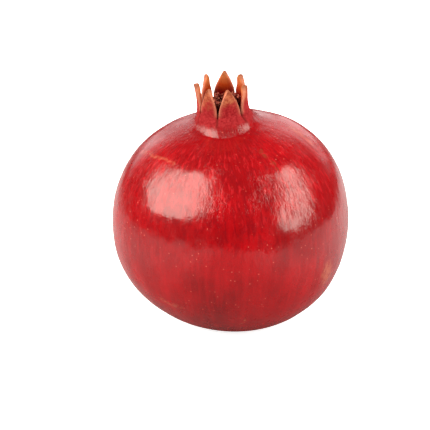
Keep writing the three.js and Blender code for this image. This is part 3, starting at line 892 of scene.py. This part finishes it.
wood = Finish("cut_stem_wood", roughness=0.8, ior=1.4)
from_centre = wood.node("ShaderNodeVectorMath", {0: wood.place, 1: stub_foot}, operation="SUBTRACT")
level = {0: from_centre.outputs["Vector"], 1: (1, 1, 0)}
flattened = wood.node("ShaderNodeVectorMath", level, operation="MULTIPLY")
outwards = wood.node("ShaderNodeVectorMath", {0: flattened.outputs["Vector"]}, operation="LENGTH")
fibres = wood.noise(wood.place, 1600, 4, 0.65)
RINGS_WIDTH = 2.7
rings = wood.maths("MULTIPLY", outwards.outputs["Value"], 1 / (RINGS_WIDTH * MM))
ring_noise = wood.maths("MULTIPLY_ADD", fibres, 0.25, rings)
wood_colour = wood.ramp(ring_noise, (0.12, rgb(84, 52, 30)), (0.3, rgb(168, 126, 84)),
                        (0.8, rgb(150, 108, 68)), (1.0, rgb(78, 46, 28)))
wood.done(wood_colour, wood.between(fibres, 0.3, 0.7, 0.7, 0.9), wood.bump(fibres, 0.15))
stub_piece.data.materials.append(wood.material)

# %% [markdown]
# ## The studio
# The floor is plain and almost white, and so is the room behind. Two large soft boxes stand at the
# left and the right and show as broad patches of light on the waxy skin. Towards the camera the room
# is dark, which keeps the middle of the fruit deep red. For the same reason the floor is darker in
# reflections than it looks, and fades out half a metre away. The Light Path node tells the two apart.

# %% Floor
floor_mesh = bmesh.new()
bmesh.ops.create_grid(floor_mesh, x_segments=1, y_segments=1, size=6)
floor = bpy.data.objects.new("floor", mesh_from(floor_mesh, "floor"))
bpy.context.scene.collection.objects.link(floor)

paper = Finish("pale_table", roughness=1.0)
paper.shader.inputs["Specular IOR Level"].default_value = 0.0
rays = paper.node("ShaderNodeLightPath")
table_place = paper.node("ShaderNodeSeparateXYZ", {"Vector": paper.place})
aside = paper.between(paper.maths("ABSOLUTE", table_place.outputs["X"]), 0.02, 0.13)
behind = paper.between(table_place.outputs["Y"], -0.05, 0.05)
in_gloss = paper.between(paper.maths("MAXIMUM", aside, behind), 0, 1, 0.13, 0.3)
right_side = paper.between(table_place.outputs["X"], 0.06, 0.16)
right_side = paper.maths("MULTIPLY", right_side, paper.between(table_place.outputs["Y"], -0.08, 0.03))
in_gloss = paper.maths("MULTIPLY_ADD", right_side, 0.13, in_gloss)
from_fruit = paper.node("ShaderNodeVectorMath", {0: paper.place}, operation="LENGTH").outputs["Value"]
in_gloss = paper.maths("MULTIPLY", in_gloss, paper.between(from_fruit, 0.5, 0.24))
in_diffuse = paper.between(aside, 0, 1, 0.45, 1.0)
bounced = paper.mixed(rays.outputs["Is Glossy Ray"], in_diffuse, in_gloss)
paper_colour = paper.mixed(rays.outputs["Is Camera Ray"], bounced, (0.9, 0.9, 0.9, 1))
lift = paper.maths("MULTIPLY", rays.outputs["Is Camera Ray"], 0.8)
paper.shader.inputs["Emission Color"].default_value = (1, 1, 1, 1)
paper.tree.links.new(lift, paper.shader.inputs["Emission Strength"])
floor.data.materials.append(paper.done(paper_colour))

# %% Room
world = bpy.data.worlds.new("studio_room")
bpy.context.scene.world = world
world.use_nodes = True
room = world.node_tree
room.nodes.clear()

def room_node(kind, **settings):
    made = room.nodes.new(kind)
    for key, value in settings.items():
        setattr(made, key, value)
    return made

direction = room_node("ShaderNodeTexCoord")
parts = room_node("ShaderNodeSeparateXYZ")
room.links.new(direction.outputs["Generated"], parts.inputs[0])
from_behind = room_node("ShaderNodeMapRange", interpolation_type="SMOOTHSTEP")
room.links.new(parts.outputs["Y"], from_behind.inputs["Value"])
for key, value in (("From Min", 0.72), ("From Max", 1.0), ("To Min", 0.01), ("To Max", 1.2)):
    from_behind.inputs[key].default_value = value
room_rays = room_node("ShaderNodeLightPath")
reflected = room_node("ShaderNodeMix", data_type="FLOAT")
room.links.new(room_rays.outputs["Is Glossy Ray"], reflected.inputs[0])
overhead = room_node("ShaderNodeMapRange", interpolation_type="SMOOTHSTEP")
sideways = room_node("ShaderNodeMath", operation="ABSOLUTE")
room.links.new(parts.outputs["X"], sideways.inputs[0])
upward_or_aside = room_node("ShaderNodeMath", operation="MULTIPLY_ADD")
room.links.new(sideways.outputs[0], upward_or_aside.inputs[0])
upward_or_aside.inputs[1].default_value = 1.1
room.links.new(parts.outputs["Z"], upward_or_aside.inputs[2])
room.links.new(upward_or_aside.outputs[0], overhead.inputs["Value"])
for key, value in (("From Min", 0.0), ("From Max", 1.0), ("To Min", 0.05), ("To Max", 1.4)):
    overhead.inputs[key].default_value = value
room.links.new(overhead.outputs["Result"], reflected.inputs[2])
room.links.new(from_behind.outputs["Result"], reflected.inputs[3])
seen = room_node("ShaderNodeMix", data_type="FLOAT")
room.links.new(room_rays.outputs["Is Camera Ray"], seen.inputs[0])
room.links.new(reflected.outputs[0], seen.inputs[2])
seen.inputs[3].default_value = 1.0
glow = room_node("ShaderNodeBackground")
glow.inputs["Color"].default_value = (1, 1, 1, 1)
room.links.new(seen.outputs[0], glow.inputs["Strength"])
room.links.new(glow.outputs[0], room_node("ShaderNodeOutputWorld").inputs[0])

# %% Soft boxes
fruit_middle = Vector((0, 0, EQUATOR_Z * MM))
WARM_WHITE = (1, 0.94, 0.84)
BOX_DISTANCE = 1.3

def soft_box(name, towards, width, height, radiance, shape, roll=0):
    """A large area light that faces the fruit from a direction."""
    light = bpy.data.lights.new(name, "AREA")
    light.shape, light.size, light.size_y = shape, width, height
    light.energy = radiance * math.pi * width * height * (math.pi / 4 if shape == "DISK" else 1)
    light.color = WARM_WHITE
    lamp = bpy.data.objects.new(name, light)
    lamp.location = fruit_middle + Vector(towards).normalized() * BOX_DISTANCE
    aimed = (fruit_middle - lamp.location).to_track_quat("-Z", "Y").to_matrix()
    lamp.rotation_euler = (aimed @ Matrix.Rotation(math.radians(roll), 3, "Z")).to_euler()
    lamp.visible_camera = False
    bpy.context.scene.collection.objects.link(lamp)

soft_box("left_soft_box", (-0.765, -0.225, 0.615), 1.22, 1.22, 5.3, "DISK")
soft_box("right_soft_box", (0.8, -0.245, 0.455), 0.5, 1.4, 5.5, "RECTANGLE", roll=-30)

# %% Camera
camera_data = bpy.data.cameras.new("camera")
camera_data.lens, camera_data.sensor_width = 188, 36
camera = bpy.data.objects.new("camera", camera_data)
bpy.context.scene.collection.objects.link(camera)
bpy.context.scene.camera = camera
ELEVATION, DISTANCE = math.radians(22), 0.9
forward = Vector((0, math.cos(ELEVATION), -math.sin(ELEVATION)))
upward = Vector((0, math.sin(ELEVATION), math.cos(ELEVATION)))
aim = fruit_middle + Vector((-6.2, 0, 0)) * MM + upward * 1.2 * MM
camera.location = aim - forward * DISTANCE
camera.rotation_euler = forward.to_track_quat("-Z", "Y").to_euler()
camera_data.clip_start, camera_data.clip_end = 0.01, 20
bpy.context.scene.view_settings.view_transform = "Standard"
